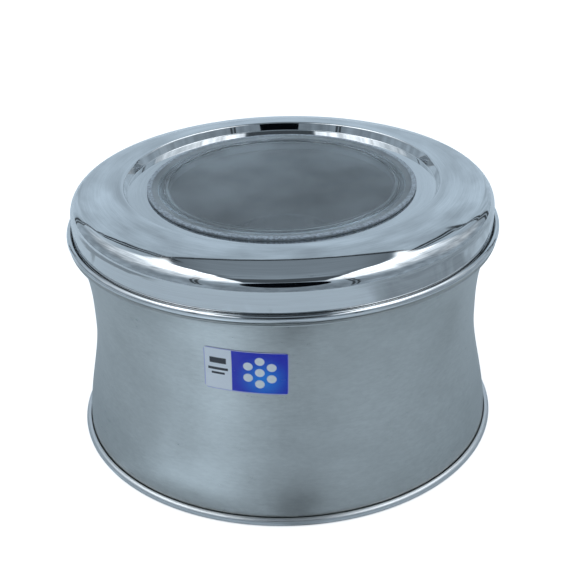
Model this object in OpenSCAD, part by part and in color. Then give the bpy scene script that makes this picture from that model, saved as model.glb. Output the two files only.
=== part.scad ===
// Masala dabba: a round stainless steel spice box with a see-through lid, seven bowls and a spoon.
// Millimetres, +Z up. The origin is the centre of the foot, on the surface that the box stands on.
// The front of the box faces -Y. Every sheet metal piece is a profile turned about the Z axis.

/* [Box] */
// Overall diameter, over the foot seam
box_d = 207; // [180:1:260]
// Height of the seat that the lid's rolled edge comes down on
wall_h = 102.5; // [80:0.1:150]
// Thickness of the box, base and lid sheet
sheet_t = 0.6; // [0.4:0.05:0.8]
// How far the waist is drawn in from the foot, on the radius
waist_in = 10.2; // [4:0.1:16]
// Height of the narrowest part of the waist
waist_z = 57; // [45:1:65]
// Steepness of the lower flare where it meets the foot
foot_flare = 0.2; // [0:0.05:2]
// Steepness of the upper flare where it meets the rim
rim_flare = 3; // [2:0.05:3]
// Height of the neck that the lid slides over, above the seat
neck_h = 10.4; // [6:0.1:12]
// Radius of the rounded stop bead under the lid's rolled edge
bead_r = 1; // [0.8:0.05:1.4]

/* [Base] */
// Height of the rolled foot seam
seam_h = 3.1; // [2.8:0.05:4]
// Height of the underside of the base panel above the ground
panel_lift = 3; // [2.4:0.05:5]
// Width of the flat ring that the box stands on
foot_w = 2.95; // [2.5:0.05:5]

/* [Lid] */
// How far the lid's rolled edge stands in from the foot, on the radius
lid_in = 1; // [0:0.1:4]
// Outer radius of the rolled edge
roll_r = 1.65; // [1.4:0.05:2.2]
// Height of the straight skirt above the middle of the rolled edge
skirt_h = 9.9; // [6:0.1:14]
// Radius of the shoulder between the skirt and the crown
shoulder_r = 7.5; // [5:0.5:10]
// Width of the crown, from the skirt in to the recess
crown_w = 24.8; // [20:0.1:30]
// Radius of the crown's own gentle curve
crown_r = 97.6; // [80:0.1:200]
// Slope of the crown at the recess, in degrees
crown_slope = 5; // [2:0.5:8]
// Radius of the bend at the top of the recess
recess_bend_r = 1; // [0.8:0.05:1.5]
// Depth of the recess that holds the window
recess_h = 4; // [3.5:0.1:6]
// Lean of the recess wall, in degrees
recess_lean = 20; // [3:1:30]

/* [Window] */
// Width of the steel ledge left bare around the window
ledge_w = 9.6; // [6:0.1:12]
// Width of the window's smooth rounded edge
pane_edge_w = 2.3; // [1.5:0.1:3]
// Width of the window's frosted band
frost_w = 7.7; // [6.5:0.1:9]
// Thickness of the clear pane
pane_t = 1.6; // [1.2:0.1:2.5]
// Height of the frosted band above the clear pane
frost_step = 0.3; // [0.2:0.05:0.5]
// Thickness of the soft seal under the window's edge
gasket_t = 0.4; // [0.3:0.05:0.8]
// Depth of the lock ring below the ledge
lock_h = 3.4; // [3.2:0.1:5]

/* [Bowls] */
// Height of each spice bowl
bowl_h = 56.4; // [36:0.1:60]
// Thickness of the bowl sheet
bowl_t = 0.5; // [0.3:0.05:0.7]
// Radius of the bowl's bottom corner
bowl_corner_r = 7; // [4:0.5:9]
// How much narrower the bowl is at its bottom corner than at its rim, on the radius
bowl_taper = 1.4; // [0.5:0.1:3]
// Outer radius of the bowl's rolled rim
bowl_roll_r = 1; // [0.85:0.05:1.2]

/* [Spoon] */
// Length of the spoon
spoon_l = 104; // [90:1:120]
// Outer radius of the spoon's scoop, seen from above
scoop_r = 14; // [12:0.5:16]
// Depth of the scoop
scoop_h = 6.5; // [6:0.1:8]
// Thickness of the spoon sheet
spoon_t = 0.8; // [0.6:0.05:1]
// Width of the handle at its end
handle_w = 9; // [7:0.5:12]
// Width of the handle where it meets the scoop
handle_neck_w = 4.6; // [4:0.1:6]

/* [Label] */
// Width of the sticker
label_w = 36.5; // [20:0.5:60]
// Height of the sticker
label_h = 21.5; // [12:0.5:30]
// How far the sticker's centre lies below the lid's seat
label_drop = 27.8; // [14:0.1:50]
// Turn of the sticker from the front, in degrees
label_turn = -10.6; // [-180:0.1:180]
// Tilt of the sticker on the wall, in degrees
label_tilt = -2; // [-10:0.5:10]
// Thickness of the sticker
label_t = 0.15; // [0.1:0.05:0.3]

/* [Fits] */
// Gap between the neck and the lid's skirt, on the radius
neck_gap = 0.35; // [0.2:0.05:0.8]
// Gap left under the lid's rolled edge when the lid is on
seat_gap = 0.2; // [0.1:0.05:0.5]
// Gap between the edge of the wall's flange and the foot seam around it
flange_gap = 0.35; // [0.2:0.05:0.6]
// Gap between the window's collar and the hole and groove around it
collar_gap = 0.3; // [0.2:0.05:0.6]
// Gap between one bowl and the next
bowl_gap = 0.8; // [0.4:0.1:2]
// Gap between the outer bowls and the waist
waist_gap = 1.3; // [0.8:0.1:4]
// Gap between the spoon and the bowl rims that it lies on
spoon_gap = 0.1; // [0.05:0.05:0.3]

/* [Hidden] */
$fn = 96;
arc_steps = 10;
turn_steps = 6;
flare_steps = 12;
edge_r = 0.35;

// Box radii, from the foot inwards
foot_r = box_d / 2;
waist_r = foot_r - waist_in;
lid_r = foot_r - lid_in;
skirt_r = lid_r - 2 * roll_r + sheet_t;
neck_r = skirt_r - sheet_t - neck_gap;
bead_out_r = lid_r - 0.7;
rim_r = neck_r + 0.5;
seam_r = seam_h / 2;
lip_w = 0.65;
lip_gap = 0.45;
seam_x = foot_r - seam_r;
wall_foot_r = seam_x - lip_w - lip_gap;
flange_fillet = 0.5;
flange_r = seam_x + seam_r - sheet_t - flange_gap;

// Box heights
bead_z = wall_h - bead_r;
rim_z = bead_z - bead_r;
neck_z = wall_h + neck_h;
hem_r = 0.8;
hem_drop = 1.6;
panel_z = panel_lift + sheet_t;
label_z = wall_h - label_drop;
flange_z = seam_h / 2 + sheet_t / 2;

// Lid: heights follow from the seat, and the crown from the shoulder that it is tangent to
roll_x = lid_r - roll_r;
roll_z = wall_h + seat_gap + roll_r;
roll_in_r = roll_r - sheet_t;
skirt_z = roll_z + skirt_h;
crown_in_r = skirt_r - crown_w;
crown_cx = crown_in_r - crown_r * sin(crown_slope);
shoulder_cx = skirt_r - shoulder_r;
crown_dx = shoulder_cx - crown_cx;
crown_dz = sqrt(pow(crown_r - shoulder_r, 2) - crown_dx * crown_dx);
crown_cz = skirt_z - crown_dz;
crown_end = atan2(crown_dz, crown_dx);
bend_cx = crown_in_r - recess_bend_r * sin(crown_slope);
bend_cz = crown_cz + (crown_r - recess_bend_r) * cos(crown_slope);
ledge_z = bend_cz + recess_bend_r - recess_h;
recess_wall_h = recess_h - 2 * recess_bend_r * (1 - sin(recess_lean));
recess_r = bend_cx + recess_bend_r * (1 - 2 * cos(recess_lean)) - recess_wall_h * tan(recess_lean);

// Window: widths add up inwards from the recess wall
pane_r = recess_r - ledge_w;
frost_r = pane_r - pane_edge_w;
clear_r = frost_r - frost_w;
collar_w = 1.6;
collar_r = clear_r + 3.9;
hole_r = collar_r + collar_gap;
flange_t = 1;
pane_seat_z = ledge_z + gasket_t;
frost_z = pane_seat_z + flange_t;
pane_z = frost_z - frost_step;
pane_under_z = pane_z - pane_t;
ledge_under_z = ledge_z - sheet_t;
lock_z = ledge_under_z - lock_h;
lock_web_t = 0.8;
lock_wall_t = 1.2;
lock_r = pane_r - 1.2;
collar_end_z = lock_z + lock_web_t + collar_gap;

// Bowls: six around one, filling the waist
bowl_r = (waist_r - sheet_t - waist_gap - bowl_gap) / 3;
bowl_ring_r = 2 * bowl_r + bowl_gap;
bowl_top_z = panel_z + bowl_h;
bowl_wall_r = bowl_r - 2 * bowl_roll_r + bowl_t;
bowl_foot_r = bowl_wall_r - bowl_taper;
bowl_first_turn = 90;

// Spoon: lies with its scoop on two rims and its handle on the two opposite ones
scoop_sphere_r = (scoop_r * scoop_r + scoop_h * scoop_h) / (2 * scoop_h);
spoon_x = bowl_r + bowl_gap / 2;
spoon_turn = 30;
far_rim_x = bowl_ring_r - bowl_r + bowl_roll_r;
handle_fall = atan((scoop_h - spoon_t) / (spoon_x + far_rim_x - scoop_r));
handle_l = spoon_l - 2 * scoop_r;
handle_root = 2.5;

// ---- Outlines ----

// Points on an arc about c, from angle a0 to angle a1
function arc(c, r, a0, a1, n = arc_steps) =
    [for (i = [0:n]) c + r * [cos(a0 + (a1 - a0) * i / n), sin(a0 + (a1 - a0) * i / n)]];

// Share of a flare reached at u, from 0 at the waist to 1 at its end, where its steepness is k
function flare(u, k) = (3 - k) * u * u + (k - 2) * u * u * u;

// Outer radius of the wall at height z
function wall_r(z) = z < waist_z
    ? waist_r + (wall_foot_r - waist_r) * flare((waist_z - z) / (waist_z - seam_h), foot_flare)
    : waist_r + (rim_r - waist_r) * flare((z - waist_z) / (rim_z - waist_z), rim_flare);

// Unit vector to the right of the path p at its point i
function right_of(p, i) =
    let (a = p[max(i - 1, 0)], b = p[min(i + 1, len(p) - 1)], d = (b - a) / norm(b - a)) [d[1], -d[0]];

// The path p moved to its right by t
function beside(p, t) = [for (i = [0:len(p) - 1]) p[i] + t * right_of(p, i)];

// Closed outline of a sheet with one face on the path p and the other a distance t to its right
function sheet_outline(p, t) =
    let (q = beside(p, t)) concat(p, [for (i = [len(q) - 1:-1:0]) q[i]]);

module turned(points) {
    rotate_extrude($fn = 180)
        polygon(points);
}

// ---- Box ----

// Spun wall: a flange held in the foot seam, the waisted wall, the stop bead and the hemmed neck
module body_shell() {
    neck_foot_r = 0.7;
    path = concat(
        [[flange_r, flange_z]],
        arc([wall_foot_r + flange_fillet, flange_z + flange_fillet], flange_fillet, 270, 180, turn_steps),
        [for (i = [0:flare_steps]) let (z = seam_h + (waist_z - seam_h) * i / flare_steps) [wall_r(z), z]],
        [for (i = [1:flare_steps]) let (z = waist_z + (rim_z - waist_z) * i / flare_steps) [wall_r(z), z]],
        arc([bead_out_r - bead_r, bead_z], bead_r, -65, 90),
        arc([neck_r + neck_foot_r, wall_h + neck_foot_r], neck_foot_r, 270, 180, turn_steps),
        arc([neck_r - hem_r, neck_z - hem_r], hem_r, 0, 180),
        [[neck_r - 2 * hem_r, neck_z - hem_r - hem_drop]]
    );
    color("#8a9298")
        turned(sheet_outline(path, -sheet_t));
}

// Dished bottom whose edge is rolled around the wall's flange
module base_plate() {
    dish_r = 0.7;
    dish_x = foot_r - seam_r - foot_w;
    path = concat(
        [[0, panel_lift]],
        arc([dish_x - 2 * dish_r, panel_lift - dish_r], dish_r, 90, 0, turn_steps),
        arc([dish_x, dish_r], dish_r, 180, 270, turn_steps),
        arc([seam_x, seam_r], seam_r, -90, 90),
        [[seam_x - lip_w, seam_h]]
    );
    color("#9aa4ad")
        turned(sheet_outline(path, -sheet_t));
}

// Outline of a rectangle with rounded corners about the origin
function rounded(w, h, r) = concat(
    arc([w / 2 - r, h / 2 - r], r, 0, 90, turn_steps),
    arc([r - w / 2, h / 2 - r], r, 90, 180, turn_steps),
    arc([r - w / 2, r - h / 2], r, 180, 270, turn_steps),
    arc([w / 2 - r, r - h / 2], r, 270, 360, turn_steps)
);

// Sticker that follows the wall
module label_sticker() {
    glue_t = 0.05;
    reach = label_h / 2 + 1.5;
    span = [for (i = [0:flare_steps]) label_z - reach + 2 * reach * i / flare_steps];
    path = [for (z = span) [wall_r(z) + glue_t, z]];
    color("#2448c8")
        rotate([0, 0, label_turn - 90])
            intersection() {
                turned(sheet_outline(path, label_t));
                translate([0, 0, label_z])
                    rotate([90, 0, 90])
                        rotate([0, 0, label_tilt])
                            linear_extrude(height = foot_r)
                                polygon(rounded(label_w, label_h, 1.6));
            }
}

// ---- Lid ----

// Pressed lid: ledge, recess wall, crown, shoulder, skirt and rolled edge in one sheet
module lid_shell() {
    path = concat(
        [[hole_r, ledge_z]],
        arc([recess_r - recess_bend_r, ledge_z + recess_bend_r], recess_bend_r, 270, 360 - recess_lean, turn_steps),
        arc([bend_cx, bend_cz], recess_bend_r, 180 - recess_lean, 90 - crown_slope, turn_steps),
        arc([crown_cx, crown_cz], crown_r, 90 - crown_slope, crown_end),
        arc([shoulder_cx, skirt_z], shoulder_r, crown_end, 0),
        arc([roll_x, roll_z], roll_in_r, 180, 468, 3 * turn_steps)
    );
    color("#a8b8c8")
        turned(sheet_outline(path, sheet_t));
}

// Clear pane with a frosted band, a rounded edge that bears on the seal and a collar below
module window_pane() {
    color("#8fa3b0", 0.45)
        turned(concat(
            [[0, pane_under_z], [clear_r + lock_wall_t + collar_gap, pane_under_z]],
            [[collar_r - collar_w, pane_under_z - 0.3], [collar_r - collar_w, collar_end_z]],
            [[collar_r, collar_end_z], [collar_r, pane_seat_z]],
            arc([pane_r - flange_t / 2, pane_seat_z + flange_t / 2], flange_t / 2, 270, 450, turn_steps),
            [[frost_r, frost_z], [clear_r, frost_z], [clear_r - frost_step, pane_z], [0, pane_z]]
        ));
}

// Soft seal between the window's edge and the steel ledge
module window_gasket() {
    seal_in_r = hole_r + 0.6;
    seal_w = pane_r - 0.8 - seal_in_r;
    color("#c9ced2")
        turned([
            [seal_in_r, ledge_z],
            [seal_in_r + seal_w, ledge_z],
            [seal_in_r + seal_w, pane_seat_z],
            [seal_in_r, pane_seat_z]
        ]);
}

// Ring that snaps over the collar and draws the window down on the ledge
module window_lock_ring() {
    groove_in_r = clear_r + lock_wall_t;
    groove_out_r = collar_r + collar_gap;
    groove_z = lock_z + lock_web_t;
    color("#cdd6dc")
        turned([
            [clear_r, lock_z + edge_r],
            [clear_r + edge_r, lock_z],
            [lock_r - edge_r, lock_z],
            [lock_r, lock_z + edge_r],
            [lock_r, ledge_under_z],
            [groove_out_r, ledge_under_z],
            [groove_out_r, groove_z],
            [groove_in_r, groove_z],
            [groove_in_r, pane_under_z],
            [clear_r, pane_under_z]
        ]);
}

// ---- Bowls ----

// Pressed bowl with a rounded bottom corner and a rolled rim, standing on the origin
module bowl() {
    roll_in = bowl_roll_r - bowl_t;
    lean = atan(bowl_taper / (bowl_h - bowl_corner_r - bowl_roll_r));
    corner_x = bowl_foot_r - bowl_corner_r * cos(lean);
    path = concat(
        [[0, 0]],
        arc([corner_x, bowl_corner_r], bowl_corner_r, 270, 360 - lean, arc_steps),
        arc([bowl_wall_r + roll_in, bowl_h - bowl_roll_r], roll_in, 180, -95, 2 * turn_steps)
    );
    color("#b4bcc2")
        turned(sheet_outline(path, -bowl_t));
}

module bowl_centre() {
    translate([0, 0, panel_z])
        bowl();
}

// One of the six bowls around the centre, counted clockwise from the back as seen from above
module outer_bowl(n) {
    rotate([0, 0, bowl_first_turn - 60 * n])
        translate([bowl_ring_r, 0, panel_z])
            bowl();
}

// ---- Spoon ----

// Outline of the handle from the scoop, widening to a round end
function handle_outline() = concat(
    [[-handle_root, -handle_neck_w / 2], [handle_l * 0.35, -handle_neck_w / 2]],
    arc([handle_l - handle_w / 2, 0], handle_w / 2, -90, 90),
    [[handle_l * 0.35, handle_neck_w / 2], [-handle_root, handle_neck_w / 2]]
);

// Round scoop and flat handle in one sheet, lying with the bottom of the scoop on the origin
module spoon_shape() {
    half = asin(scoop_r / scoop_sphere_r);
    centre = [0, scoop_sphere_r];
    turned(concat(
        arc(centre, scoop_sphere_r, -90, half - 90),
        arc(centre, scoop_sphere_r - spoon_t, half - 90, -90)
    ));
    translate([scoop_r, 0, scoop_h])
        rotate([0, handle_fall, 0])
            translate([0, 0, -spoon_t])
                linear_extrude(height = spoon_t)
                    polygon(handle_outline());
}

module spoon() {
    color("#bcc3c8")
        rotate([0, 0, spoon_turn])
            translate([-spoon_x, 0, bowl_top_z + spoon_gap])
                spoon_shape();
}

body_shell();
base_plate();
label_sticker();
lid_shell();
window_pane();
window_gasket();
window_lock_ring();
bowl_centre();
outer_bowl(0);  // bowl_back
outer_bowl(1);  // bowl_back_right
outer_bowl(2);  // bowl_front_right
outer_bowl(3);  // bowl_front
outer_bowl(4);  // bowl_front_left
outer_bowl(5);  // bowl_back_left
spoon();
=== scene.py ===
"""Masala dabba: a round stainless steel spice box with a see-through lid, seven bowls and a spoon."""

import math

import bmesh
import bpy
from bpy.props import FloatProperty, FloatVectorProperty, IntProperty, PointerProperty
from mathutils import Matrix, Vector


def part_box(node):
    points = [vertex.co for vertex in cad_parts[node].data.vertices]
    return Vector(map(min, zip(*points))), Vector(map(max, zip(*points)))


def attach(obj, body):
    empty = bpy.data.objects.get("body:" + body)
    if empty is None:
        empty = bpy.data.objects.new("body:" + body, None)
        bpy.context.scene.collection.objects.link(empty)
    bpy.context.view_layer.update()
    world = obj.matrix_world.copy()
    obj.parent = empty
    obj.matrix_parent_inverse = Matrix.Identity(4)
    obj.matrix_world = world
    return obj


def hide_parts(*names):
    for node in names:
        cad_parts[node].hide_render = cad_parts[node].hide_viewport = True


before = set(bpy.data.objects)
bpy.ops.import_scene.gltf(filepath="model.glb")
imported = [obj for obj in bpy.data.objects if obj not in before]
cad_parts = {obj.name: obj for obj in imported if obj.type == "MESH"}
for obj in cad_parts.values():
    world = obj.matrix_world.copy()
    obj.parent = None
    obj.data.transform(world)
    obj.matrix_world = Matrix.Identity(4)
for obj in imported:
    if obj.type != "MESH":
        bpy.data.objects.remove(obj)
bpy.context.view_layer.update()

bl_info = {
    "name": "Masala Dabba",
    "version": (1, 0, 0),
    "blender": (4, 5, 0),
    "location": "View3D > Sidebar > Masala Dabba",
    "description": "Makes a round steel spice box, its lid, bowls and spoon, and a light tent around it",
    "category": "Object",
}

MM = 0.001
SMALL = 1e-7

# The packed model's own sizes, which every default below comes from
BASE_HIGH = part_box("base_plate")[1]
WALL_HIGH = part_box("body_shell")[1]
LID_LOW, LID_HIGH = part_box("lid_shell")
PANE_LOW, PANE_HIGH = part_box("window_pane")
SEAL_LOW, SEAL_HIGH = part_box("window_gasket")
LOCK_LOW, LOCK_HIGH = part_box("window_lock_ring")
BOWL_LOW, BOWL_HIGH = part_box("bowl_centre")
SEAL_HOLE_R = min(v.co.xy.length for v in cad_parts["window_gasket"].data.vertices)

# Steepest bend, in degrees, that is still shaded smooth
SMOOTH_BEND = 50
# Width over height of the sticker's print
PRINT_RATIO = 1.7
# Window: collar's reach beyond the clear pane, its thickness, and rings that keep the pane's shading even
COLLAR_REACH = 3.9 * MM
COLLAR_T = 1.6 * MM
PANE_RINGS = (52.8 * MM, 45 * MM, 30 * MM, 15 * MM, 0.0)
# Floor sheet
FLOOR_R = 4.0
# Camera hood: half sizes, place beside the camera and tip in degrees
HOOD_HALF = (0.2, 0.02, 0.135)
HOOD_OFFSET = (0.005, 0.03, 0.12)
HOOD_TIP = -40

BOWLS = [
    "bowl_back",
    "bowl_back_right",
    "bowl_front_right",
    "bowl_front",
    "bowl_front_left",
    "bowl_back_left",
]


# ---- Sizes and colours ----


def size(name, about, default, low=0.0, high=1.0):
    return FloatProperty(
        name=name, description=about, default=default, min=low, max=high, unit="LENGTH", precision=5
    )


def turn(name, about, degrees):
    return FloatProperty(name=name, description=about, default=math.radians(degrees), unit="ROTATION")


def share(name, about, default, low=0.0, high=1.0):
    return FloatProperty(name=name, description=about, default=default, min=low, max=high, subtype="FACTOR")


def shade(name, about, default):
    return FloatVectorProperty(
        name=name, description=about, default=default, size=3, min=0.0, max=1.0, subtype="COLOR"
    )


class MasalaBoxSizes(bpy.types.PropertyGroup):
    """Sizes of the wall and the base"""

    sheet_t: size("Sheet thickness", "Thickness of the box, base and lid sheet", 0.6 * MM)
    waist_r: size("Waist radius", "Outer radius of the narrowest part of the wall", 93.3 * MM)
    waist_z: size("Waist height", "Height of the narrowest part of the wall", 57 * MM)
    foot_flare: FloatProperty(name="Foot flare", description="Steepness of the lower flare at the foot", default=0.2)
    rim_flare: FloatProperty(name="Rim flare", description="Steepness of the upper flare at the rim", default=3.0)
    bead_r: size("Bead radius", "Radius of the stop bead under the lid's rolled edge", 1 * MM)
    neck_h: size("Neck height", "Height of the neck above the lid's seat", 10.4 * MM)
    neck_r: size("Neck radius", "Outer radius of the neck that the lid slides over", 98.85 * MM)
    panel_lift: size("Panel lift", "Height of the base panel's underside above the ground", 3 * MM)
    foot_w: size("Foot width", "Width of the flat ring that the box stands on", 2.95 * MM)
    segments: IntProperty(name="Segments", description="Faces around each large turned piece", default=288, min=24)


class MasalaLidSizes(bpy.types.PropertyGroup):
    """Sizes of the lid"""

    roll_r: size("Roll radius", "Outer radius of the rolled edge", 1.65 * MM)
    skirt_h: size("Skirt height", "Height of the straight skirt above the middle of the roll", 9.9 * MM)
    shoulder_r: size("Shoulder radius", "Radius between the skirt and the crown", 7.5 * MM)
    crown_w: size("Crown width", "Width of the crown from the skirt in to the recess", 24.8 * MM)
    crown_r: size("Crown radius", "Radius of the crown's own gentle curve", 97.6 * MM)
    crown_slope: turn("Crown slope", "Slope of the crown at the recess", 5)
    bend_r: size("Bend radius", "Radius of the bend at the top of the recess", 1 * MM)
    foot_bend_r: size("Foot bend radius", "Radius of the sharper bend at the foot of the recess", 0.45 * MM)
    recess_lean: turn("Recess lean", "Lean of the recess wall", 20)


class MasalaWindowSizes(bpy.types.PropertyGroup):
    """Sizes of the window, its seal and its lock ring"""

    edge_w: size("Edge width", "Width of the smooth rounded edge", 2.3 * MM)
    frost_w: size("Frosted width", "Width of the frosted band", 7.7 * MM)
    pane_t: size("Pane thickness", "Thickness of the clear pane", 1.6 * MM)
    frost_step: size("Frosted step", "Height of the frosted band above the clear pane", 0.3 * MM)
    flutes: IntProperty(name="Flutes", description="Fine radial flutes around the frosted band", default=420, min=60)
    flute_t: size("Flute depth", "Depth of each flute", 0.07 * MM)


class MasalaBowlSizes(bpy.types.PropertyGroup):
    """Sizes of the seven bowls"""

    sheet_t: size("Sheet thickness", "Thickness of the bowl sheet", 0.5 * MM)
    corner_r: size("Corner radius", "Radius of the bottom corner", 7 * MM)
    taper: size("Taper", "How much narrower the bowl is at its bottom corner, on the radius", 1.4 * MM)
    roll_r: size("Rim radius", "Outer radius of the rolled rim", 1 * MM)
    ring_r: size("Ring radius", "Distance from the box's axis to an outer bowl's", 61.2 * MM)
    segments: IntProperty(name="Segments", description="Faces around each bowl", default=144, min=24)


class MasalaSpoonSizes(bpy.types.PropertyGroup):
    """Sizes of the spoon"""

    length: size("Length", "Length of the spoon", 104 * MM)
    scoop_r: size("Scoop radius", "Outer radius of the scoop from above", 14 * MM)
    scoop_h: size("Scoop depth", "Depth of the scoop", 6.5 * MM)
    sheet_t: size("Sheet thickness", "Thickness of the spoon sheet", 0.8 * MM)
    handle_w: size("Handle width", "Width of the handle at its end", 9 * MM)
    neck_w: size("Neck width", "Width of the handle where it meets the scoop", 4.6 * MM)
    away: size("Distance from the axis", "How far the middle of the scoop lies from the box's axis", 30.6 * MM)
    turned: turn("Turn", "Turn of the spoon on the bowls", 30)
    gap: size("Gap", "Gap between the spoon and the rims that it lies on", 0.1 * MM)


class MasalaStickerSizes(bpy.types.PropertyGroup):
    """Sizes and colours of the sticker"""

    width: size("Width", "Width of the sticker", 36.5 * MM)
    height: size("Height", "Height of the sticker", 21.5 * MM)
    z: size("Height above ground", "Height of the sticker's centre", 74.7 * MM)
    thickness: size("Thickness", "Thickness of the sticker", 0.15 * MM)
    corner_r: size("Corner radius", "Radius of the corners", 1.9 * MM)
    turned: turn("Turn", "Turn of the sticker from the front", -10.6)
    tilt: turn("Tilt", "Tilt of the sticker on the wall", -2)
    paper: shade("Paper", "Colour of the pale third", (0.97, 0.97, 1.0))
    deep: shade("Deep blue", "Colour of the blue part at its edges", (0.016, 0.03, 0.62))
    bright: shade("Bright blue", "Colour of the blue part at its middle", (0.02, 0.3, 1.0))
    edge: shade("Edge", "Colour of the thin border", (0.56, 0.55, 0.84))


class MasalaFinishes(bpy.types.PropertyGroup):
    """Colours of the steel and the plastic"""

    mirror: shade("Mirror steel", "Colour of the polished lid", (0.80, 0.81, 0.815))
    satin: shade("Satin steel", "Colour of the brushed wall", (0.62, 0.63, 0.615))
    bowl: shade("Bowl steel", "Colour of the bowls and the spoon", (0.88, 0.89, 0.89))
    plastic: shade("Window plastic", "Colour of the clear pane", (0.86, 0.92, 0.95))
    frosted: shade("Frosted plastic", "Colour of the frosted band", (0.42, 0.47, 0.52))


class MasalaStudio(bpy.types.PropertyGroup):
    """The light tent and the camera"""

    tent: shade("Tent", "Cool light from the tent's walls", (0.675, 0.835, 0.985))
    level: share("Tent level", "Brightness of the tent's walls", 1.22, 0.0, 4.0)
    lamp: share("Lamp level", "Brightness of the two long lamps above", 2.0, 0.0, 20.0)
    floor: shade("Floor", "Colour of the floor sheet", (0.76, 0.82, 0.86))
    camera_y: size("Camera distance", "Distance of the camera from the axis", 498.5 * MM, 0.0, 5.0)
    camera_z: size("Camera height", "Height of the camera", 329.5 * MM, 0.0, 5.0)
    camera_pitch: turn("Camera pitch", "Tip of the camera up from straight down", 62.24)
    camera_yaw: turn("Camera yaw", "Turn of the camera", 0.076)
    camera_roll: turn("Camera roll", "Roll of the camera", -1.594)
    lens: FloatProperty(name="Lens", description="Focal length", default=71.96, unit="CAMERA")


# ---- Node helpers ----


class Wiring:
    """Adds nodes to one tree and joins them up."""

    def __init__(self, tree):
        self.tree = tree

    def add(self, kind, feeds=None, **settings):
        node = self.tree.nodes.new(kind)
        for key, value in settings.items():
            setattr(node, key, value)
        for key, value in (feeds or {}).items():
            self.feed(value, node.inputs[key])
        return node

    def feed(self, value, socket):
        if isinstance(value, bpy.types.NodeSocket):
            self.tree.links.new(value, socket)
        else:
            socket.default_value = value

    def math(self, operation, *values):
        return self.add("ShaderNodeMath", dict(enumerate(values)), operation=operation).outputs[0]

    def times(self, first, *others):
        for other in others:
            first = self.math("MULTIPLY", first, other)
        return first

    def plus(self, a, b):
        return self.math("ADD", a, b)

    def minus(self, a, b):
        return self.math("SUBTRACT", a, b)

    def most(self, a, b):
        return self.math("MAXIMUM", a, b)

    def off(self, a, b):
        """How far apart a and b are."""
        return self.math("ABSOLUTE", self.minus(a, b))

    def vector(self, operation, *values):
        return self.add("ShaderNodeVectorMath", dict(enumerate(values)), operation=operation).outputs

    def split(self, vector):
        return self.add("ShaderNodeSeparateXYZ", {0: vector}).outputs

    def join(self, x, y, z):
        return self.add("ShaderNodeCombineXYZ", {0: x, 1: y, 2: z}).outputs[0]

    def noise(self, place, scale, detail, **more):
        feeds = {"Vector": place, "Scale": scale, "Detail": detail, **more}
        return self.add("ShaderNodeTexNoise", feeds).outputs[0]

    def place(self):
        return self.add("ShaderNodeTexCoord").outputs["Object"]

    def shared(self, tree, **feeds):
        """The outputs of a shared group with these inputs."""
        return self.add("ShaderNodeGroup", feeds, node_tree=tree).outputs

    def bump(self, height, distance, **more):
        feeds = {"Height": height, "Distance": distance, "Strength": 1.0, **more}
        return self.add("ShaderNodeBump", feeds).outputs[0]

    def step(self, value, low, high, start=0.0, end=1.0):
        """Goes smoothly from start to end as value goes from low to high."""
        feeds = {"Value": value, "From Min": low, "From Max": high, "To Min": start, "To Max": end}
        return self.add("ShaderNodeMapRange", feeds, interpolation_type="SMOOTHSTEP").outputs[0]

    def ramp(self, value, low, high, start=0.0, end=1.0):
        """Goes straight from start to end as value goes from low to high, and no further."""
        feeds = {"Value": value, "From Min": low, "From Max": high, "To Min": start, "To Max": end}
        return self.add("ShaderNodeMapRange", feeds).outputs[0]

    def band(self, value, low, high, soft):
        """1 between low and high, fading to 0 over soft at either side."""
        rise = self.step(value, low - soft, low + soft)
        return self.times(rise, self.fall(value, high - soft, high + soft))

    def fall(self, value, low, high):
        """Goes smoothly from 1 to 0 as value goes from low to high."""
        return self.step(value, low, high, 1.0, 0.0)

    def azimuth(self, parts):
        """Degrees around Z from the front, positive to the right."""
        return self.math("DEGREES", self.math("ARCTAN2", parts[0], self.times(parts[1], -1.0)))

    def for_camera(self, others, camera):
        """One shader for mirrored and diffuse rays and another for what the camera sees itself."""
        seen = self.add("ShaderNodeLightPath").outputs["Is Camera Ray"]
        return self.add("ShaderNodeMixShader", {0: seen, 1: others, 2: camera}).outputs[0]

    def blend(self, factor, a, b):
        """A float that is a at factor 0 and b at factor 1."""
        return self.add("ShaderNodeMix", {0: factor, 2: a, 3: b}, data_type="FLOAT").outputs[0]

    def tint(self, factor, a, b):
        """A colour that is a at factor 0 and b at factor 1."""
        return self.add("ShaderNodeMix", {0: factor, 6: a, 7: b}, data_type="RGBA").outputs[2]


def rgba(colour, level=1.0):
    return tuple(channel * level for channel in colour) + (1.0,)


def group(name, inputs, outputs, build):
    """A shader node group, built once, with float and vector inputs and outputs."""
    tree = bpy.data.node_groups.get(name)
    if tree:
        return tree
    tree = bpy.data.node_groups.new(name, "ShaderNodeTree")
    for key, default in inputs.items():
        kind = "NodeSocketVector" if default is None else "NodeSocketFloat"
        socket = tree.interface.new_socket(key, in_out="INPUT", socket_type=kind)
        if default is not None:
            socket.default_value = default
    for key in outputs:
        tree.interface.new_socket(key, in_out="OUTPUT", socket_type="NodeSocketFloat")
    wiring = Wiring(tree)
    source = wiring.add("NodeGroupInput").outputs
    sink = wiring.add("NodeGroupOutput").inputs
    for key, value in build(wiring, source).items():
        wiring.feed(value, sink[key])
    return tree


def lines_group():
    """Fine lines left around a turned piece by brushing or buffing."""

    def build(w, source):
        parts = w.split(source["Turning"])
        along = w.times(parts[0], source["Along"])
        side = w.times(parts[1], source["Along"])
        across = w.times(parts[2], source["Across"])
        place = w.join(along, side, across)
        fine = w.noise(place, 1.0, 3.0, Roughness=0.65)
        wide = w.noise(place, 0.17, 2.0)
        total = w.plus(w.times(fine, 0.7), w.times(wide, 0.3))
        return {"Lines": w.ramp(total, 0.3, 0.7)}

    return group("Turning lines", {"Turning": None, "Along": 6.0, "Across": 9000.0}, ["Lines"], build)


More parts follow.
